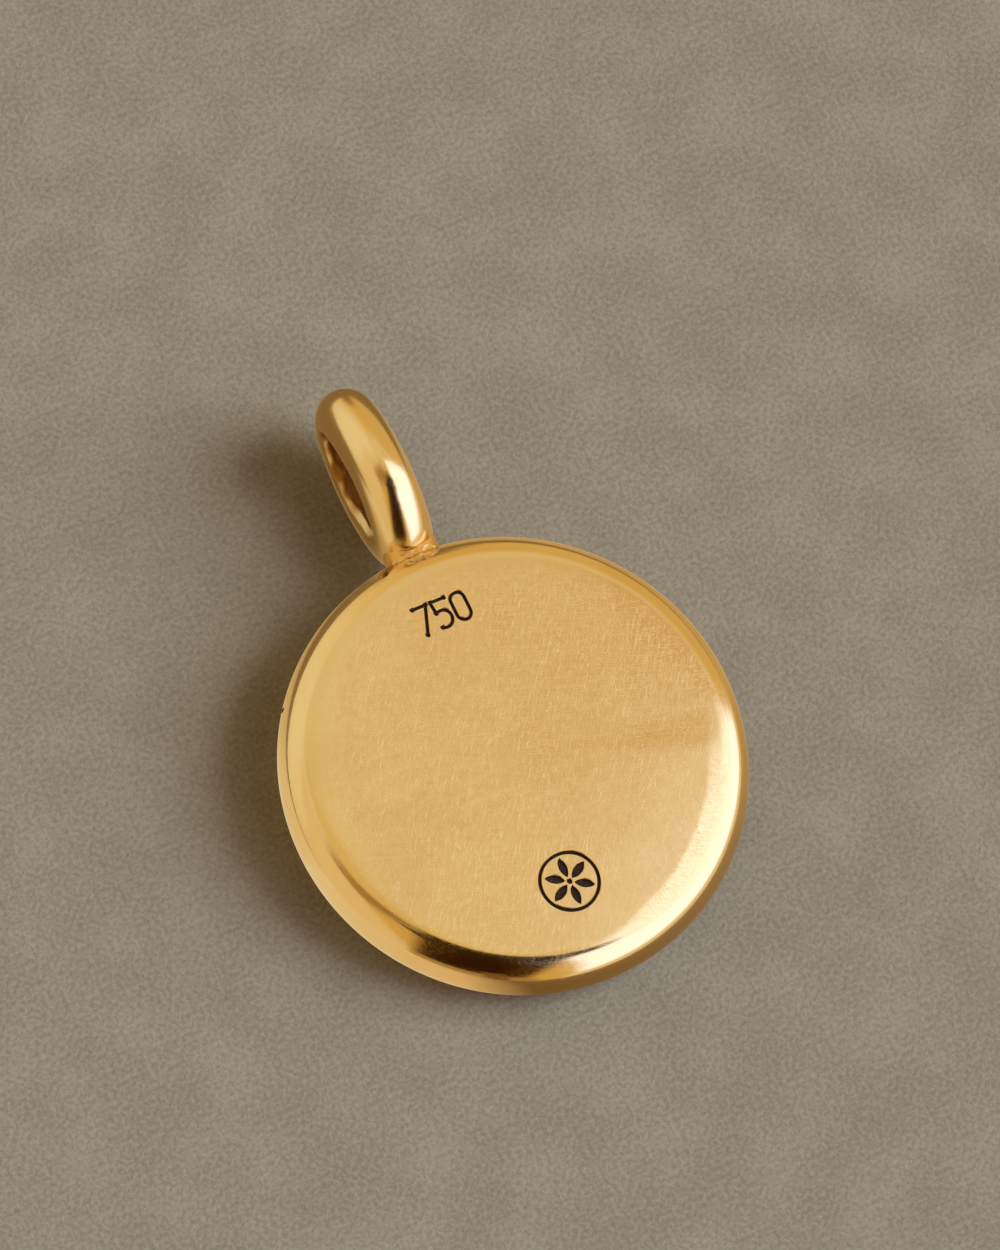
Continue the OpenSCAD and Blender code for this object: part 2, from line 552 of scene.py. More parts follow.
@dataclass
class SolderSeam:
    """The foot of the bail: a short neck out of the rim, with a lumpy ledge of solder round it."""

    neck_w: float = 0.94
    neck_h: float = 0.85
    ledge_w: float = 1.06
    ledge_h: float = 0.95
    root_y: float = 6.9
    lip_y: float = 7.76
    lip_fade: float = 0.05 / 3
    top_y: float = 8.7
    squareness: float = 2.7
    turns: int = 192
    steps: int = 100
    lump_mm: float = 0.045
    lump_size: float = 0.17
    lump_reach: float = 0.22
    lump_seed: int = 7
    grit_finer: float = 2.7
    grit_share: float = 0.4
    # Painted shade in the crease where the ledge meets the rim: its place, its reach and its mean amount.
    crease_shade_y: float = 7.42
    crease_shade_reach: float = 0.2
    crease_shade_mean: float = 0.75

    def share_at(self, y: float) -> float:
        """How much of the ledge's width and height remains at a distance from the disc's axis.

        Args:
            y: Distance from the disc's axis.

        Returns:
            1 on the ledge, falling to 0 on the neck beyond the lip.
        """
        return 1 / (1 + math.exp((y - self.lip_y) / self.lip_fade))

    def shape(self, place: Vector) -> Vector:
        """Turns a point of a unit tube about the neck's axis into one of the seam, squarer than a circle.

        Args:
            place: A point on the tube, with its distance along the neck as y.

        Returns:
            The point on the seam.
        """
        share = self.share_at(place.y)
        width = self.neck_w + (self.ledge_w - self.neck_w) * share
        height = self.neck_h + (self.ledge_h - self.neck_h) * share
        power = self.squareness
        fullness = (abs(place.x) ** power + abs(place.z) ** power) ** (1 / power)
        reach = math.hypot(place.x, place.z) / max(fullness, MERGE_MM)
        return Vector((place.x * width * reach, place.y, place.z * height * reach))

    def lump(self, place: Vector) -> Vector:
        """Finds the small move that gives a point the unevenness of hand soldering.

        Args:
            place: A point on the seam.

        Returns:
            The move.
        """
        near = math.exp(-(((place.y - self.lip_y) / self.lump_reach) ** 2))
        coarse = noise.noise_vector(place / self.lump_size)
        fine = noise.noise_vector(place / self.lump_size * self.grit_finer)
        return (coarse + fine * self.grit_share) * self.lump_mm * near

    def build(self, materials: list[bpy.types.Material]) -> Piece:
        """Spins a tube about the neck, shapes it into the seam, and paints brown shade in the crease at
        the foot of the ledge.

        Args:
            materials: The solder's finish.

        Returns:
            The seam.
        """
        bm = bmesh.new()
        pen = Pen(bm, Vector((0, self.root_y, 0)), AXIS_Z)
        pen.line_to(Vector((1, self.root_y, 0)))
        pen.line_to(Vector((1, self.top_y, 0)), self.steps)
        pen.line_to(Vector((0, self.top_y, 0)))
        turn_round(bm, AXIS_Y, self.turns)
        shade_paint = bm.verts.layers.float.new(SHADE_PAINT_ATTRIBUTE)
        noise.seed_set(self.lump_seed)
        for vert in bm.verts:
            vert.co = self.shape(vert.co)
            # Painted shade: a band of brown in the crease at the foot of the ledge.
            low = math.exp(-(((vert.co.y - self.crease_shade_y) / self.crease_shade_reach) ** 2))
            vert[shade_paint] = low * (self.crease_shade_mean + noise.noise(vert.co / self.lump_size))
            vert.co += self.lump(vert.co)
        return Piece("solder_seam", bm, materials)


@dataclass
class Punch:
    """The tool that makes a mark: its stroke's section, and cutters swept with it."""

    stroke_w: float = 0.1
    depth: float = 0.12
    chamfer: float = 0.028
    chamfer_depth: float = 0.03
    floor_w: float = 0.07
    clear: float = 0.2
    dot_steps: int = 28
    arc_steps: int = 24

    def half_section(self, half_w: float) -> list[tuple[float, float]]:
        """The cutter's half section, as distances from its middle and heights over the metal.

        Args:
            half_w: Half of the stroke's width under its bevelled edge.

        Returns:
            The corners from the top to the floor.
        """
        floor = half_w - (self.stroke_w - self.floor_w) / 2
        return [
            (half_w + self.chamfer, self.clear),
            (half_w + self.chamfer, 0),
            (half_w, -self.chamfer_depth),
            (floor, -self.depth),
        ]

    def paint(self, bm: bmesh.types.BMesh) -> None:
        """Marks the faces below the bevelled edge as the dark inside of the punch."""
        for face in bm.faces:
            if face.calc_center_median().z < -self.chamfer_depth:
                face.material_index = Zone.PUNCHED.value

    def cutter(self, bm: bmesh.types.BMesh, place: Vector, materials: list[bpy.types.Material]) -> Piece:
        """Turns a finished cutter mesh into a piece at its place on the back.

        Args:
            bm: The cutter round its own middle, with the metal's surface at height 0.
            place: The middle's place on the disc's back.
            materials: The polished and the punched finish.

        Returns:
            The cutter.
        """
        self.paint(bm)
        bmesh.ops.translate(bm, verts=bm.verts[:], vec=place)
        return Piece("cutter", bm, materials)

    def dot(self, centre: Vector, diameter: float) -> bmesh.types.BMesh:
        """Spins a round dot.

        Args:
            centre: The dot's middle.
            diameter: Its width under the bevelled edge.

        Returns:
            The dot's cutter.
        """
        bm = bmesh.new()
        corners = self.half_section(diameter / 2)
        pen = Pen(bm, Vector((0, 0, self.clear)), AXIS_Y)
        for away, height in corners:
            pen.line_to(Vector((away, 0, height)))
        pen.line_to(Vector((0, 0, -self.depth)))
        turn_round(bm, AXIS_Z, self.dot_steps)
        bmesh.ops.translate(bm, verts=bm.verts[:], vec=centre)
        return bm

    def start(self, bm: bmesh.types.BMesh, place: Vector, heading_deg: float) -> bmesh.types.BMFace:
        """Draws the stroke's whole section as a face that looks along the stroke.

        Args:
            bm: The mesh to draw in.
            place: Where the stroke starts.
            heading_deg: The stroke's direction, from +X towards +Y.

        Returns:
            The section's face.
        """
        corners = self.half_section(self.stroke_w / 2)
        ring = corners + [(-away, height) for away, height in reversed(corners)]
        verts = [bmesh.ops.create_vert(bm, co=(0, away, height))["vert"][0] for away, height in ring]
        face = bmesh.ops.contextual_create(bm, geom=verts)["faces"][0]
        turn = Matrix.Rotation(math.radians(heading_deg), 3, "Z")
        bmesh.ops.rotate(bm, verts=verts, cent=(0, 0, 0), matrix=turn)
        bmesh.ops.translate(bm, verts=verts, vec=place)
        return face

    def forward(self, bm: bmesh.types.BMesh, face: bmesh.types.BMFace, run: Vector) -> bmesh.types.BMFace:
        """Carries the stroke straight on.

        Args:
            bm: The stroke's mesh.
            face: The section at its tip.
            run: How far it goes.

        Returns:
            The section at the new tip.
        """
        made = bmesh.ops.extrude_face_region(bm, geom=[face])["geom"]
        verts = [v for v in made if isinstance(v, bmesh.types.BMVert)]
        bmesh.ops.translate(bm, verts=verts, vec=run)
        return next(f for f in made if isinstance(f, bmesh.types.BMFace))

    def bend(
        self, bm: bmesh.types.BMesh, face: bmesh.types.BMFace, centre: Vector, degrees: float
    ) -> bmesh.types.BMFace:
        """Carries the stroke round an arc.

        Args:
            bm: The stroke's mesh.
            face: The section at its tip.
            centre: The arc's centre.
            degrees: How far it turns, counterclockwise.

        Returns:
            The section at the new tip.
        """
        made = bmesh.ops.spin(
            bm,
            geom=[face] + list(face.edges) + list(face.verts),
            cent=centre,
            axis=AXIS_Z,
            angle=math.radians(degrees),
            steps=self.arc_steps,
        )["geom_last"]
        return next(f for f in made if isinstance(f, bmesh.types.BMFace))

    def line(self, a: Vector, b: Vector) -> bmesh.types.BMesh:
        """Makes a straight stroke.

        Args:
            a: Its start.
            b: Its end.

        Returns:
            The stroke's cutter.
        """
        bm = bmesh.new()
        run = b - a
        face = self.start(bm, a, math.degrees(math.atan2(run.y, run.x)))
        self.forward(bm, face, run)
        return bm


@dataclass
class NumberRow:
    """The generic number beside the bail, struck with thin strokes that end in dots."""

    punch: Punch = field(default_factory=Punch)
    x: float = -0.2
    y: float = 5.5
    height: float = 1.0
    width: float = 0.5
    gap: float = 0.17
    bowl_r: float = 0.31
    bowl_open_deg: float = 120.0
    dot_d: float = 0.15

    def seven(self) -> list[bmesh.types.BMesh]:
        """Makes a 7.

        Returns:
            Its cutters.
        """
        right, top = self.width / 2, self.height / 2
        corner = Vector((right, top, 0))
        ends = [Vector((-right, top, 0)), corner, Vector((-right / 2, -top, 0))]
        strokes = [self.punch.line(ends[0], corner), self.punch.line(corner, ends[2])]
        return strokes + [self.punch.dot(end, self.dot_d) for end in ends]

    def five(self) -> list[bmesh.types.BMesh]:
        """Makes a 5.

        Returns:
            Its cutters.
        """
        right, top = self.width / 2, self.height / 2
        bowl = Vector((right - self.bowl_r, self.bowl_r - top, 0))
        open_rad = math.radians(self.bowl_open_deg)
        neck = bowl + Vector((math.cos(open_rad), math.sin(open_rad), 0)) * self.bowl_r
        tail = bowl + Vector((math.cos(open_rad), -math.sin(open_rad), 0)) * self.bowl_r
        corner = Vector((-right, top, 0))
        ends = [Vector((right, top, 0)), corner, neck, tail]
        arc = bmesh.new()
        face = self.punch.start(arc, tail, 90 - self.bowl_open_deg)
        self.punch.bend(arc, face, bowl, 2 * self.bowl_open_deg)
        strokes = [self.punch.line(ends[0], corner), self.punch.line(corner, neck), arc]
        return strokes + [self.punch.dot(end, self.dot_d) for end in ends]

    def nought(self) -> list[bmesh.types.BMesh]:
        """Makes a 0.

        Returns:
            Its one cutter.
        """
        side = self.width / 2
        straight = self.height / 2 - side
        bm = bmesh.new()
        first = self.punch.start(bm, Vector((side, -straight, 0)), 90)
        tip = self.punch.forward(bm, first, AXIS_Y * 2 * straight)
        tip = self.punch.bend(bm, tip, AXIS_Y * straight, 180)
        tip = self.punch.forward(bm, tip, -AXIS_Y * 2 * straight)
        last = self.punch.bend(bm, tip, -AXIS_Y * straight, 180)
        caps = [f for f in bm.faces if f == last or f == first or len(f.verts) > 4]
        bmesh.ops.delete(bm, geom=caps, context="FACES_ONLY")
        return [bm]

    def cutters(self, disc: Disc, materials: list[bpy.types.Material]) -> list[Piece]:
        """Sets the digits side by side.

        Args:
            disc: The disc that is struck.
            materials: The polished and the punched finish.

        Returns:
            The cutters of the row.
        """
        surface = disc.height(Vector((self.x, self.y, 0)))
        pitch = self.width + self.gap
        digits = [(-pitch, self.seven()), (0, self.five()), (pitch, self.nought())]
        return [
            self.punch.cutter(bm, Vector((self.x + x, self.y, surface)), materials)
            for x, strokes in digits
            for bm in strokes
        ]


@dataclass
class Rosette:
    """The plain compass rosette near the far edge: six petals round a dot, in a thin ring."""

    punch: Punch = field(default_factory=Punch)
    x: float = -0.35
    y: float = -4.65
    diameter: float = 2.1
    ring_w: float = 0.1
    petal_gap: float = 0.1
    petal_start: float = 0.16
    petal_w: float = 0.27
    petals: int = 6
    ring_steps: int = 72
    petal_steps: int = 14

    def ring(self) -> bmesh.types.BMesh:
        """Makes the thin ring.

        Returns:
            The ring's cutter.
        """
        bm = bmesh.new()
        face = self.punch.start(bm, AXIS_X * (self.diameter - self.ring_w) / 2, 90)
        bmesh.ops.delete(bm, geom=[face], context="FACES_ONLY")
        turn_round(bm, AXIS_Z, self.ring_steps)
        return bm

    def petal(self, index: int) -> bmesh.types.BMesh:
        """Makes one lens-shaped petal.

        Args:
            index: The petal's number round the rosette.

        Returns:
            The petal's cutter.
        """
        punch = self.punch
        end = self.diameter / 2 - self.ring_w - self.petal_gap
        half = (end - self.petal_start) / 2
        arc_r = (half**2 + self.petal_w**2 / 4) / self.petal_w
        centre_x = arc_r - self.petal_w / 2
        edge_r = arc_r + punch.chamfer
        edge_deg = 2 * math.degrees(math.acos(centre_x / edge_r))
        middle = AXIS_Y * (self.petal_start + half)
        bm = bmesh.new()
        pen = Pen(bm, middle - AXIS_Y * math.sqrt(edge_r**2 - centre_x**2), AXIS_Z)
        pen.arc(middle - AXIS_X * centre_x, edge_deg, self.petal_steps)
        pen.arc(middle + AXIS_X * centre_x, edge_deg, self.petal_steps)
        bmesh.ops.remove_doubles(bm, verts=bm.verts[:], dist=MERGE_MM)
        face = bmesh.ops.contextual_create(bm, geom=bm.edges[:])["faces"][0]
        face.normal_update()
        if face.normal.z > 0:
            bmesh.ops.reverse_faces(bm, faces=[face])
        made = bmesh.ops.extrude_face_region(bm, geom=[face], use_keep_orig=True)["geom"]
        top = [v for v in made if isinstance(v, bmesh.types.BMVert)]
        bmesh.ops.translate(bm, verts=top, vec=AXIS_Z * punch.clear)
        taper = (punch.stroke_w - punch.floor_w) / 2
        steps = [(punch.chamfer, punch.chamfer_depth), (taper, punch.depth - punch.chamfer_depth)]
        for thickness, depth in steps:
            bmesh.ops.inset_region(bm, faces=[face], thickness=thickness, use_even_offset=True)
            bmesh.ops.translate(bm, verts=face.verts[:], vec=-AXIS_Z * depth)
        turn = Matrix.Rotation(index * math.tau / self.petals, 3, "Z")
        bmesh.ops.rotate(bm, verts=bm.verts[:], cent=(0, 0, 0), matrix=turn)
        return bm

    def cutters(self, disc: Disc, materials: list[bpy.types.Material]) -> list[Piece]:
        """Sets the ring, the dot and the petals in place.

        Args:
            disc: The disc that is struck.
            materials: The polished and the punched finish.

        Returns:
            The cutters of the rosette.
        """
        place = Vector((self.x, self.y, 0))
        place.z = disc.height(place)
        shapes = [self.ring(), self.punch.dot(Vector(), self.petal_start)]
        shapes += [self.petal(i) for i in range(self.petals)]
        return [self.punch.cutter(bm, place, materials) for bm in shapes]


@dataclass
class Nick:
    """The small dark nick in the rim, to the left of the number row."""

    azimuth_deg: float = 143.6
    rise_deg: float = 8.0
    radius: float = 0.09
    stretch: float = 1.7
    roundness: int = 3

    def cutter(self, disc: Disc, materials: list[bpy.types.Material]) -> Piece:
        """Makes the shape that is cut out of the rim.

        Args:
            disc: The disc with the nick.
            materials: The polished and the punched finish.

        Returns:
            The cutter.
        """
        bm = bmesh.new()
        bmesh.ops.create_icosphere(bm, subdivisions=self.roundness, radius=self.radius)
        bmesh.ops.scale(bm, verts=bm.verts[:], vec=(1, 1, self.stretch))
        for face in bm.faces:
            face.material_index = Zone.PUNCHED.value
        rise = math.radians(self.rise_deg)
        out = Vector((disc.core_r + disc.rim_r * math.cos(rise), 0, disc.rim_r * math.sin(rise)))
        bmesh.ops.translate(bm, verts=bm.verts[:], vec=out)
        turn = Matrix.Rotation(math.radians(self.azimuth_deg), 3, "Z")
        bmesh.ops.rotate(bm, verts=bm.verts[:], cent=(0, 0, 0), matrix=turn)
        return Piece("cutter", bm, materials)


class Nodes:
    """A short hand for building a node tree."""

    def __init__(self, tree: bpy.types.NodeTree) -> None:
        """Takes the tree to build in.

        Args:
            tree: The node tree.
        """
        self.tree = tree

    def add(self, kind: str, inputs: dict[Any, Any] | None = None, **settings: Any) -> bpy.types.Node:
        """Adds a node.

        Args:
            kind: The node's type.
            inputs: Values or output sockets for its inputs, by name or number.
            settings: Values for the node's own properties.

        Returns:
            The node.
        """
        node = self.tree.nodes.new(kind)
        for name, value in settings.items():
            setattr(node, name, value)
        for key, value in (inputs or {}).items():
            self.feed(node.inputs[key], value)
        return node

    def feed(self, socket: bpy.types.NodeSocket, value: Any) -> None:
        """Links an output to a socket, or sets the socket's value.

        Args:
            socket: The input socket.
            value: An output socket or a plain value.
        """
        if isinstance(value, bpy.types.NodeSocket):
            self.tree.links.new(value, socket)
        else:
            socket.default_value = value

    def math(self, operation: str, *values: Any) -> bpy.types.NodeSocket:
        """Adds a Math node.

        Args:
            operation: What it does.
            values: Its inputs, as numbers or output sockets.

        Returns:
            The result's socket.
        """
        return self.add("ShaderNodeMath", dict(enumerate(values)), operation=operation).outputs[0]

    def smooth(
        self, value: Any, low: Any, high: Any, to_low: Any = 0.0, to_high: Any = 1.0
    ) -> bpy.types.NodeSocket:
        """Adds a smooth step from one value to another.

        Args:
            value: The value that is tested.
            low: Where the step starts.
            high: Where it ends.
            to_low: The result before it.
            to_high: The result after it.

        Returns:
            The result's socket.
        """
        inputs = {"Value": value, 1: low, 2: high, 3: to_low, 4: to_high}
        node = self.add("ShaderNodeMapRange", inputs, interpolation_type="SMOOTHSTEP")
        return node.outputs["Result"]

    def mix(self, factor: Any, a: Any, b: Any) -> bpy.types.NodeSocket:
        """Mixes two colours.

        Args:
            factor: The share of the second colour.
            a: The first colour.
            b: The second colour.

        Returns:
            The colour's socket.
        """
        inputs = {0: factor, 6: a, 7: b}
        return self.add("ShaderNodeMix", inputs, data_type="RGBA").outputs[2]

    def noise(
        self, place: bpy.types.NodeSocket, scale: Any, detail: float, **more: Any
    ) -> bpy.types.NodeSocket:
        """Adds a noise texture.

        Args:
            place: The point that it reads.
            scale: Its scale.
            detail: Number of finer layers.
            more: Values for its other inputs, by name.

        Returns:
            The noise's value.
        """
        inputs = {"Vector": place, "Scale": scale, "Detail": detail, **more}
        return self.add("ShaderNodeTexNoise", inputs).outputs[0]


def new_material(name: str) -> tuple[bpy.types.Material, Nodes, bpy.types.NodeSocket]:
    """Makes an empty material that reads places on the object.

    Args:
        name: The material's name.

    Returns:
        The material, its node builder and the place's socket.
    """
    material = bpy.data.materials.new(name)
    material.use_nodes = True
    material.node_tree.nodes.clear()
    nodes = Nodes(material.node_tree)
    return material, nodes, nodes.add("ShaderNodeTexCoord").outputs["Object"]


def new_group(name: str, inputs: dict[str, str], outputs: dict[str, str]) -> tuple[Nodes, Any, Any]:
    """Makes an empty shader node group with named sockets.

    Args:
        name: The group's name.
        inputs: Socket type by input name.
        outputs: Socket type by output name.

    Returns:
        Its node builder, its input node's outputs and its output node's inputs.
    """
    tree = bpy.data.node_groups.new(name, "ShaderNodeTree")
    for title, kind in inputs.items():
        tree.interface.new_socket(title, in_out="INPUT", socket_type=kind)
    for title, kind in outputs.items():
        tree.interface.new_socket(title, in_out="OUTPUT", socket_type=kind)
    nodes = Nodes(tree)
    return nodes, nodes.add("NodeGroupInput").outputs, nodes.add("NodeGroupOutput").inputs


@dataclass(frozen=True)
class Hairlines:
    """Fine polishing lines: thin sparse scratches in three directions, as an effect for any metal."""

    angles: tuple[float, ...] = (0.35, 1.3, 2.2)
    shifts: tuple[float, ...] = (0.0, 4.0, 9.0)
    noise_middle: float = 0.5

    def group(self) -> bpy.types.NodeTree:
        """Makes the effect's node group.

        Returns:
            The group, with the lines' mask.
        """
        nodes, given, out = new_group(
            "hairlines",
            {"Vector": VECTOR, "Length": FLOAT, "Width": FLOAT, "Amount": FLOAT},
            {"Mask": FLOAT},
        )
        total: Any = 0.0
        for angle, shift in zip(self.angles, self.shifts):
            turned = nodes.add(
                "ShaderNodeMapping",
                {"Vector": given["Vector"], "Rotation": (0, 0, angle), "Location": (shift, shift, 0)},
            ).outputs[0]
            along = nodes.math("DIVIDE", 1.0, given["Length"])
            across = nodes.math("DIVIDE", 1.0, given["Width"])
            scale = nodes.add("ShaderNodeCombineXYZ", {0: along, 1: across, 2: across}).outputs[0]
            inputs = {0: turned, 1: scale}
            stretched = nodes.add("ShaderNodeVectorMath", inputs, operation="MULTIPLY").outputs[0]
            ridge = nodes.noise(stretched, scale=1.0, detail=1.0)
            away = nodes.math("ABSOLUTE", nodes.math("SUBTRACT", ridge, self.noise_middle))
            line = nodes.smooth(away, 0.0, given["Amount"], 1.0, 0.0)
            total = nodes.math("MAXIMUM", total, line)
        nodes.feed(out["Mask"], total)
        return nodes.tree


@dataclass(frozen=True)
class Handling:
    """The soft unevenness of hand-polished metal: smudges and gentle waves, as an effect for any metal."""

    smudge_from: float = 0.35
    smudge_to: float = 0.7
    smudge_detail: float = 4.0
    smudge_swirl: float = 0.4
    wave_detail: float = 1.0

    def group(self) -> bpy.types.NodeTree:
        """Makes the effect's node group.

        Returns:
            The group, with the smudges' mask and the waves' height.
        """
        nodes, given, out = new_group(
            "handling",
            {"Vector": VECTOR, "Smudge Size": FLOAT, "Wave Size": FLOAT},
            {"Smudge": FLOAT, "Waves": FLOAT},
        )
        smudge_scale = nodes.math("DIVIDE", 1.0, given["Smudge Size"])
        wave_scale = nodes.math("DIVIDE", 1.0, given["Wave Size"])
        smudge = nodes.noise(
            given["Vector"], smudge_scale, self.smudge_detail, Distortion=self.smudge_swirl
        )
        waves = nodes.noise(given["Vector"], wave_scale, self.wave_detail)
        nodes.feed(out["Smudge"], nodes.smooth(smudge, self.smudge_from, self.smudge_to))
        nodes.feed(out["Waves"], waves)
        return nodes.tree


@dataclass(frozen=True)
class Gold:
    """Polished yellow gold with hairlines, smudges and gentle waves, and brown painted shade where the
    mesh's shade attribute is set.
    """

    name: str = "polished_gold"
    color: Rgba = (0.93, 0.69, 0.34, 1.0)
    deep_color: Rgba = (0.90, 0.65, 0.31, 1.0)
    # Painted shade: the brown that the mesh's shade attribute mixes in.
    painted_shade_color: Rgba = (0.34, 0.15, 0.025, 1.0)
    roughness: float = 0.03
    smudge_roughness: float = 0.02
    # Extra roughness where the painted shade lies.
    painted_shade_roughness: float = 0.3
    line_roughness: float = 0.1
    wave_height: float = 2e-6
    wave_size: float = 2.6e-3
    smudge_size: float = 3.5e-3
    line_length: float = 4e-3
    line_width: float = 0.05e-3
    line_amount: float = 0.01
    line_height: float = 0.3e-6

    def material(self, hairlines: bpy.types.NodeTree, handling: bpy.types.NodeTree) -> bpy.types.Material:
        """Builds the material.

        Args:
            hairlines: The group for the fine lines.
            handling: The group for smudges and waves.

        Returns:
            The material.
        """
        material, nodes, place = new_material(self.name)
        line_sizes = {"Length": self.line_length, "Width": self.line_width, "Amount": self.line_amount}
        lines = nodes.add("ShaderNodeGroup", {"Vector": place} | line_sizes, node_tree=hairlines)
        touch_sizes = {"Smudge Size": self.smudge_size, "Wave Size": self.wave_size}
        touch = nodes.add("ShaderNodeGroup", {"Vector": place} | touch_sizes, node_tree=handling)
        smudge, waves, mask = touch.outputs["Smudge"], touch.outputs["Waves"], lines.outputs["Mask"]
        # Painted shade from the mesh attribute: it darkens the gold to brown and roughens it.
        shade_paint = nodes.add("ShaderNodeAttribute", attribute_name=SHADE_PAINT_ATTRIBUTE).outputs["Fac"]
        rough = nodes.math("MULTIPLY_ADD", smudge, self.smudge_roughness, self.roughness)
        rough = nodes.math("MULTIPLY_ADD", shade_paint, self.painted_shade_roughness, rough)
        rough = nodes.math("MULTIPLY_ADD", mask, self.line_roughness, rough)
        wavy = nodes.add(
            "ShaderNodeBump", {"Height": waves, "Distance": self.wave_height, "Strength": 1.0}
        ).outputs[0]
        scratched = nodes.add(
            "ShaderNodeBump",
            {"Height": mask, "Distance": self.line_height, "Strength": 1.0, "Normal": wavy},
            invert=True,
        ).outputs[0]
        clean = nodes.mix(smudge, self.color, self.deep_color)
        shader = nodes.add(
            "ShaderNodeBsdfPrincipled",
            {
                "Base Color": nodes.mix(shade_paint, clean, self.painted_shade_color),
                "Metallic": 1.0,
                "Roughness": rough,
                "Normal": scratched,
            },
        )
        nodes.add("ShaderNodeOutputMaterial", {"Surface": shader.outputs[0]})
        return material


@dataclass(frozen=True)
class Oxide:
    """The dark brown oxide that stays in the punched marks."""

    name: str = "dark_oxide"
    color: Rgba = (0.02, 0.008, 0.003, 1.0)
    worn_color: Rgba = (0.09, 0.04, 0.012, 1.0)
    worn_from: float = 0.5
    worn_to: float = 0.75
    roughness: float = 0.5
    metallic: float = 0.5
    grain_size: float = 0.08e-3

    def material(self) -> bpy.types.Material:
        """Builds the material.

        Returns:
            The material.
        """
        material, nodes, place = new_material(self.name)
        grain = nodes.noise(place, 1 / self.grain_size, detail=3.0)
        worn = nodes.smooth(grain, self.worn_from, self.worn_to)
        shader = nodes.add(
            "ShaderNodeBsdfPrincipled",
            {
                "Base Color": nodes.mix(worn, self.color, self.worn_color),
                "Metallic": self.metallic,
                "Roughness": self.roughness,
            },
        )
        nodes.add("ShaderNodeOutputMaterial", {"Surface": shader.outputs[0]})
        return material


@dataclass(frozen=True)
class PaintedGlow:
    """A painted reflection tone that the paper emits for glossy rays, in one direction from the disc's
    middle.
    """

    azimuth_deg: float
    color: Rgb


@dataclass(frozen=True)
class Paper:
    """Pale warm grey paper with a fine grain, which glows with painted reflection tones for glossy rays,
    and the gold mirrors these.

    The painted tones differ from side to side, and a painted shade darkens them near the bail.
    """

    name: str = "pale_paper"
    light: Rgba = (0.235, 0.192, 0.133, 1.0)
    dark: Rgba = (0.153, 0.121, 0.077, 1.0)
    tone_from: float = 0.3
    tone_to: float = 0.7
    roughness: float = 0.95
    specular: float = 0.1
    grain_size: float = 0.16e-3
    grain_roughness: float = 0.65
    patch_size: float = 2.5e-3
    patch_share: float = 0.22
    grain_height: float = 0.03e-3
    middle_y: float = -3.2e-3
    # Painted reflection tones, by direction round the disc.
    painted_glows: tuple[PaintedGlow, ...] = (
        PaintedGlow(-180, (0.8, 0.72, 0.55)),
        PaintedGlow(-128, (0.72, 0.56, 0.34)),
        PaintedGlow(-110, (0.18, 0.11, 0.045)),
        PaintedGlow(-40, (0.3, 0.22, 0.13)),
        PaintedGlow(5, (0.56, 0.4, 0.19)),
        PaintedGlow(120, (0.52, 0.38, 0.18)),
        PaintedGlow(155, (0.76, 0.66, 0.47)),
    )
    shade: Rgba = (0.24, 0.16, 0.075, 1.0)
    shade_slope: float = 0.4
    shade_left: tuple[float, float] = (3.5e-3, 6e-3)
    shade_side: tuple[float, float] = (-1.5e-3, 0.0)
    shade_far: tuple[float, float] = (10e-3, 14e-3)

    def painted_reflection(self, nodes: Nodes, place: bpy.types.NodeSocket) -> bpy.types.NodeSocket:
        """Finds the painted reflection tone that the paper emits for glossy rays: painted glows round the
        disc, and a painted shade near the bail.

        Args:
            nodes: The material's node builder.
            place: The point on the paper.

        Returns:
            The tone's socket.
        """
        x, y, _ = nodes.add("ShaderNodeSeparateXYZ", {0: place}).outputs
        azimuth = nodes.math("ARCTAN2", nodes.math("SUBTRACT", y, self.middle_y), x)
        ramp = nodes.add("ShaderNodeValToRGB", {0: nodes.math("MULTIPLY_ADD", azimuth, 1 / math.tau, 0.5)})
        stops = ramp.color_ramp.elements
        while len(stops) < len(self.painted_glows):
            stops.new(0.5)
        for stop, painted_glow in zip(stops, self.painted_glows):
            stop.position = painted_glow.azimuth_deg / 360 + 0.5
            stop.color = (*painted_glow.color, 1.0)
        beside = nodes.smooth(nodes.math("MULTIPLY_ADD", x, self.shade_slope, y), *self.shade_left)
        beside = nodes.math("MULTIPLY", beside, nodes.smooth(x, *self.shade_side, 1.0, 0.0))
        shade = nodes.math("MAXIMUM", beside, nodes.smooth(y, *self.shade_far))
        return nodes.mix(shade, ramp.outputs["Color"], self.shade)

    def material(self) -> bpy.types.Material:
        """Builds the material.

        Returns:
            The material.
        """
        material, nodes, place = new_material(self.name)
        grain = nodes.noise(place, 1 / self.grain_size, detail=5.0, Roughness=self.grain_roughness)
        patch = nodes.noise(place, 1 / self.patch_size, detail=2.0)
        tone = nodes.add("ShaderNodeMix", {0: self.patch_share, 2: grain, 3: patch}).outputs[0]
        color = nodes.mix(nodes.smooth(tone, self.tone_from, self.tone_to), self.dark, self.light)
        # For glossy rays the paper is black and glows with the painted reflection tone instead, with a
        # painted shade near the bail.
        glossy = nodes.add("ShaderNodeLightPath").outputs["Is Glossy Ray"]
        bump = nodes.add("ShaderNodeBump", {"Height": grain, "Distance": self.grain_height}).outputs[0]
        shader = nodes.add(
            "ShaderNodeBsdfPrincipled",
            {
                "Base Color": nodes.mix(glossy, color, BLACK),
                "Emission Color": nodes.mix(glossy, BLACK, self.painted_reflection(nodes, place)),
                "Emission Strength": 1.0,
                "Roughness": self.roughness,
                "Specular IOR Level": self.specular,
                "Normal": bump,
            },
        )
        nodes.add("ShaderNodeOutputMaterial", {"Surface": shader.outputs[0]})
        return material


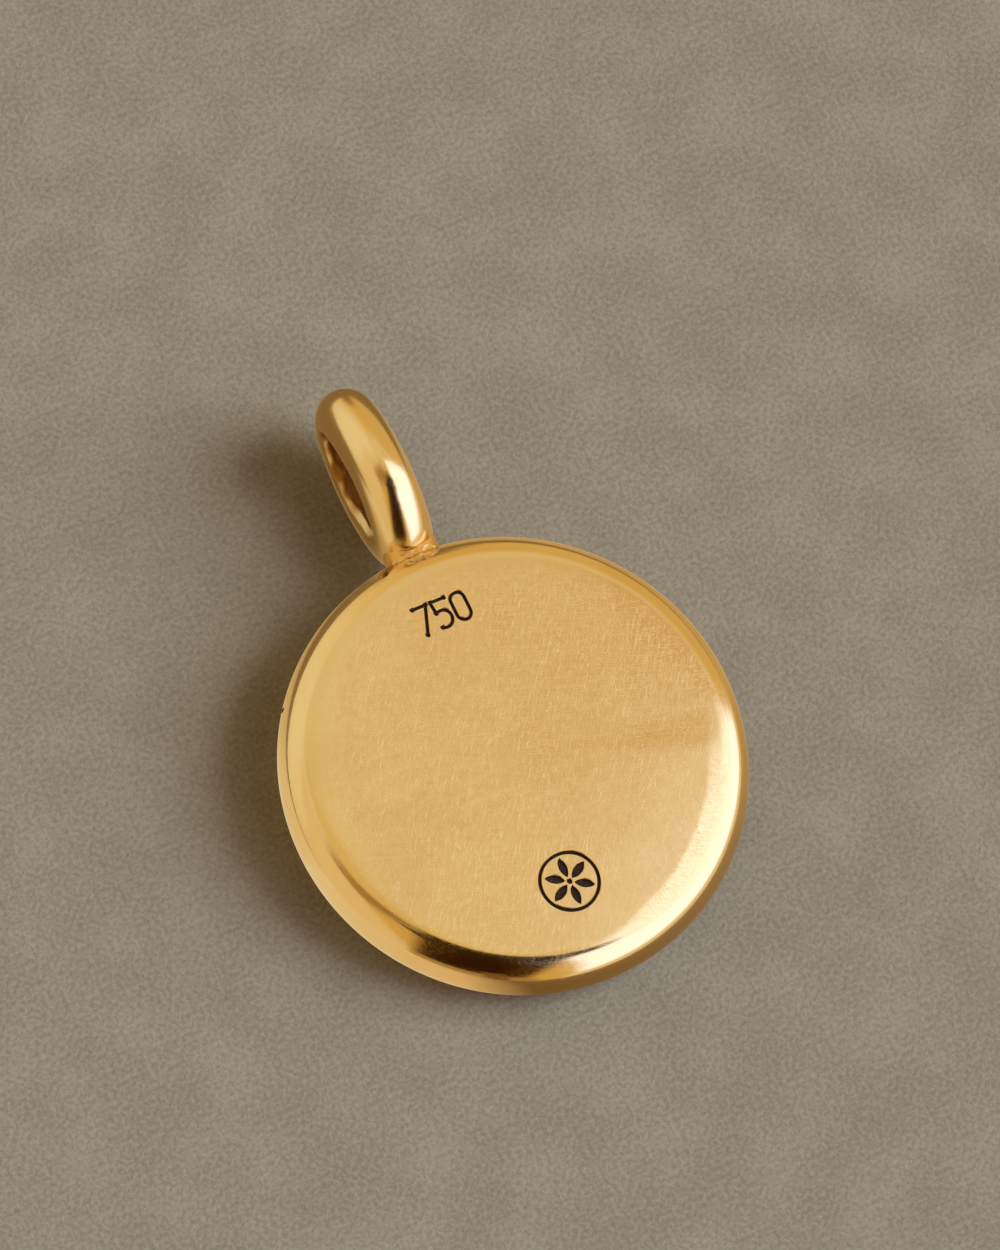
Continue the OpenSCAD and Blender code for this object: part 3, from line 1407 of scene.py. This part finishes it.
def direction_to(lon_deg: float, lat_deg: float) -> Vector:
    """Finds a direction in the room.

    Args:
        lon_deg: Its angle round the table, from +Y towards +X.
        lat_deg: Its angle over the horizon.

    Returns:
        The direction, one unit long.
    """
    lon, lat = math.radians(lon_deg), math.radians(lat_deg)
    return Vector((math.sin(lon) * math.cos(lat), math.cos(lon) * math.cos(lat), math.sin(lat)))


@dataclass(frozen=True)
class Card:
    """One soft-edged card or window, far away, with its place and half size in degrees."""

    name: str
    lon: float
    lat: float
    half_w: float
    half_h: float
    soft: float
    roll: float
    color: Rgb

    def axes(self) -> tuple[Vector, Vector, Vector]:
        """The card's directions: towards it, along its width and along its height."""
        towards = direction_to(self.lon, self.lat)
        turn = Matrix.Rotation(math.radians(self.roll), 3, towards)
        along = turn @ direction_to(self.lon + 90, 0)
        return towards, along, along.cross(towards)


@dataclass(frozen=True)
class Studio:
    """Plain soft studio light, as cards round the table in an even dim room."""

    room: Rgb = (0.7, 0.475, 0.15)
    seen: Rgb = (0.62, 0.59, 0.54)
    strength: float = 1.0
    cards: tuple[Card, ...] = (
        Card("left_wall", -40, 21, 37, 60, 20, -6, (0.83, 0.76, 0.57)),
        Card("left_curtain", -104, 9, 22, 67, 5.0, 24, (0.77, 0.64, 0.4)),
        Card("right_wall", 62, 5, 32, 41, 16, -28, (0.66, 0.49, 0.21)),
        Card("far_corner", 16, -14, 9, 30, 7, -3, (0.28, 0.18, 0.09)),
        Card("ceiling", 79, 78, 26, 27, 8.5, 21, (0.75, 0.65, 0.44)),
        Card("ceiling_edge", 90, 84, 8, 14, 1.5, -36, (0.72, 0.57, 0.26)),
        Card("window_head", 81, 63, 12.5, 7, 3.8, 30, (0.66, 0.49, 0.27)),
        Card("left_beam", -98, 70, 7.7, 15.7, 4.2, -6, (0.39, 0.23, 0.08)),
        Card("window", 133.6, -2, 44.5, 67.5, 3.5, -7.5, (1.4, 1.55, 2.3)),
        Card("window_top", 105, 60, 13.2, 14.6, 1.9, 8, (1.35, 1.5, 2.0)),
        Card("dark_camera_side", 212, 20, 19, 70, 3.5, -10, (0.03, 0.01, 0.002)),
        Card("dark_camera_top", 186, 74, 17, 6, 2.5, 10, (0.03, 0.015, 0.006)),
        Card("low_window_wall", 133.6, -12, 50, 25, 3, 0, (0.82, 0.7, 0.48)),
        Card("low_camera_side", 212, -12, 22, 25, 3, 0, (0.4, 0.26, 0.1)),
        Card("warm_glow", 204, 10, 4, 12, 1.4, 1, (0.2, 0.09, 0.03)),
    )

    def card_group(self) -> bpy.types.NodeTree:
        """Makes the group that finds a card's soft mask in a direction.

        Returns:
            The group.
        """
        nodes, given, out = new_group(
            "card",
            {"Ray": VECTOR, "Towards": VECTOR, "Along": VECTOR, "Up": VECTOR}
            | {"Half Width": FLOAT, "Half Height": FLOAT, "Softness": FLOAT},
            {"Mask": FLOAT},
        )
        parts = []
        for axis in ("Towards", "Along", "Up"):
            inputs = {0: given["Ray"], 1: given[axis]}
            part = nodes.add("ShaderNodeVectorMath", inputs, operation="DOT_PRODUCT")
            parts.append(part.outputs["Value"])
        depth, across, height = parts
        masks = []
        for value, half in ((across, given["Half Width"]), (height, given["Half Height"])):
            angle = nodes.math("ABSOLUTE", nodes.math("ARCTAN2", value, nodes.math("MAXIMUM", depth, 0.0)))
            low = nodes.math("SUBTRACT", half, given["Softness"])
            high = nodes.math("ADD", half, given["Softness"])
            masks.append(nodes.smooth(angle, low, high, 1.0, 0.0))
        front = nodes.math("GREATER_THAN", depth, 0.0)
        nodes.feed(out["Mask"], nodes.math("MULTIPLY", nodes.math("MULTIPLY", *masks), front))
        return nodes.tree

    def build(self) -> None:
        """Sets the world: the room, the cards over it, and a plain pale tone for the camera itself."""
        world = bpy.data.worlds.new("studio")
        bpy.context.scene.world = world
        world.use_nodes = True
        world.node_tree.nodes.clear()
        nodes = Nodes(world.node_tree)
        group = self.card_group()
        ray = nodes.add("ShaderNodeTexCoord").outputs["Generated"]
        light: Any = (*self.room, 1.0)
        for card in self.cards:
            towards, along, up = card.axes()
            inputs = {
                "Ray": ray,
                "Towards": towards,
                "Along": along,
                "Up": up,
                "Half Width": math.radians(card.half_w),
                "Half Height": math.radians(card.half_h),
                "Softness": math.radians(card.soft),
            }
            mask = nodes.add("ShaderNodeGroup", inputs, node_tree=group, label=card.name).outputs["Mask"]
            light = nodes.mix(mask, light, (*card.color, 1.0))
        lit = nodes.add("ShaderNodeBackground", {"Color": light, "Strength": self.strength}).outputs[0]
        plain = nodes.add("ShaderNodeBackground", {"Color": (*self.seen, 1.0)}).outputs[0]
        camera = nodes.add("ShaderNodeLightPath").outputs["Is Camera Ray"]
        surface = nodes.add("ShaderNodeMixShader", {0: camera, 1: lit, 2: plain}).outputs[0]
        nodes.add("ShaderNodeOutputWorld", {"Surface": surface})
        bpy.context.scene.view_settings.view_transform = "Standard"
        log.info("studio: %d cards", len(self.cards))


@dataclass(frozen=True)
class KeyLight:
    """The soft light from the window's side that shades the paper. The metal doesn't mirror it."""

    lon: float = 112.0
    lat: float = 36.0
    spread_deg: float = 44.0
    strength: float = 5.5
    color: Rgb = (0.72, 0.85, 1.0)

    def build(self) -> None:
        """Hangs the light."""
        data = bpy.data.lights.new("key_light", "SUN")
        data.energy = self.strength
        data.color = self.color
        data.angle = math.radians(self.spread_deg)
        lamp = bpy.data.objects.new("key_light", data)
        lamp.visible_glossy = False
        lamp.rotation_euler = direction_to(self.lon, self.lat).to_track_quat("Z", "Y").to_euler()
        bpy.context.scene.collection.objects.link(lamp)
        log.info("key light: %.1f", self.strength)


@dataclass(frozen=True)
class Floor:
    """The sheet of paper under the pendant."""

    half_size: float = 1.5

    def build(self, material: bpy.types.Material) -> None:
        """Lays the sheet.

        Args:
            material: The paper.
        """
        bm = bmesh.new()
        bmesh.ops.create_grid(bm, x_segments=1, y_segments=1, size=self.half_size)
        mesh = bpy.data.meshes.new("floor")
        bm.to_mesh(mesh)
        bm.free()
        mesh.materials.append(material)
        floor = bpy.data.objects.new("floor", mesh)
        bpy.context.scene.collection.objects.link(floor)
        log.info("floor: %.1f m wide", 2 * self.half_size)


@dataclass(frozen=True)
class Viewpoint:
    """The camera, placed by its angle to the disc."""

    right: tuple[float, float, float] = (0.89025, -0.43079, 0.14792)
    up: tuple[float, float, float] = (0.37597, 0.87834, 0.29525)
    back: tuple[float, float, float] = (-0.25711, -0.20723, 0.94390)
    distance: float = 240.0
    aim_right: float = -0.471
    aim_up: float = 4.669
    lens: float = 205.86
    sensor: float = 36.0
    near: float = 0.01
    far: float = 10.0

    def build(self, rest: Rest) -> None:
        """Makes the scene's camera.

        Args:
            rest: How the pendant lies.
        """
        data = bpy.data.cameras.new("camera")
        data.lens = self.lens
        data.sensor_width = self.sensor
        data.clip_start = self.near
        data.clip_end = self.far
        camera = bpy.data.objects.new("camera", data)
        bpy.context.scene.collection.objects.link(camera)
        eye = rest.matrix @ (Vector(self.back) * self.distance)
        aim = rest.matrix @ (Vector(self.right) * self.aim_right + Vector(self.up) * self.aim_up)
        z_axis = (eye - aim).normalized()
        x_axis = rest.direction(Vector(self.up)).cross(z_axis).normalized()
        y_axis = z_axis.cross(x_axis)
        turn = Matrix((x_axis, y_axis, z_axis)).transposed()
        camera.matrix_world = Matrix.Translation(eye) @ turn.to_4x4()
        bpy.context.scene.camera = camera
        log.info("camera: %.0f mm from the disc", self.distance)


def main() -> None:
    """Builds the pendant, the paper, the light and the camera."""
    logging.basicConfig(level=logging.INFO, format="%(name)s: %(message)s")
    rest = Rest()
    hairlines, handling = Hairlines().group(), Handling().group()
    gold = Gold().material(hairlines, handling)
    bail_gold = Gold(name="bail_gold", roughness=0.09, line_amount=0.03, line_length=1.2e-3)
    solder_gold = Gold(
        name="solder_gold",
        color=(0.95, 0.64, 0.24, 1.0),
        deep_color=(0.85, 0.5, 0.14, 1.0),
        roughness=0.24,
        smudge_roughness=0.15,
        wave_height=16e-6,
        wave_size=0.35e-3,
    )
    metal = [gold, Oxide().material()]
    disc_sizes = Disc()
    disc = disc_sizes.build(metal)
    marks = NumberRow().cutters(disc_sizes, metal) + Rosette().cutters(disc_sizes, metal)
    disc.cut(marks + [Nick().cutter(disc_sizes, metal)])
    bail = Bail().build([bail_gold.material(hairlines, handling)])
    seam = SolderSeam().build([solder_gold.material(hairlines, handling)])
    pieces = [disc, bail, seam]
    for piece in pieces:
        piece.finish(rest, sharp_deg=28)
    Floor().build(Paper().material())
    Studio().build()
    KeyLight().build()
    Viewpoint().build(rest)


if __name__ == "__main__":
    main()
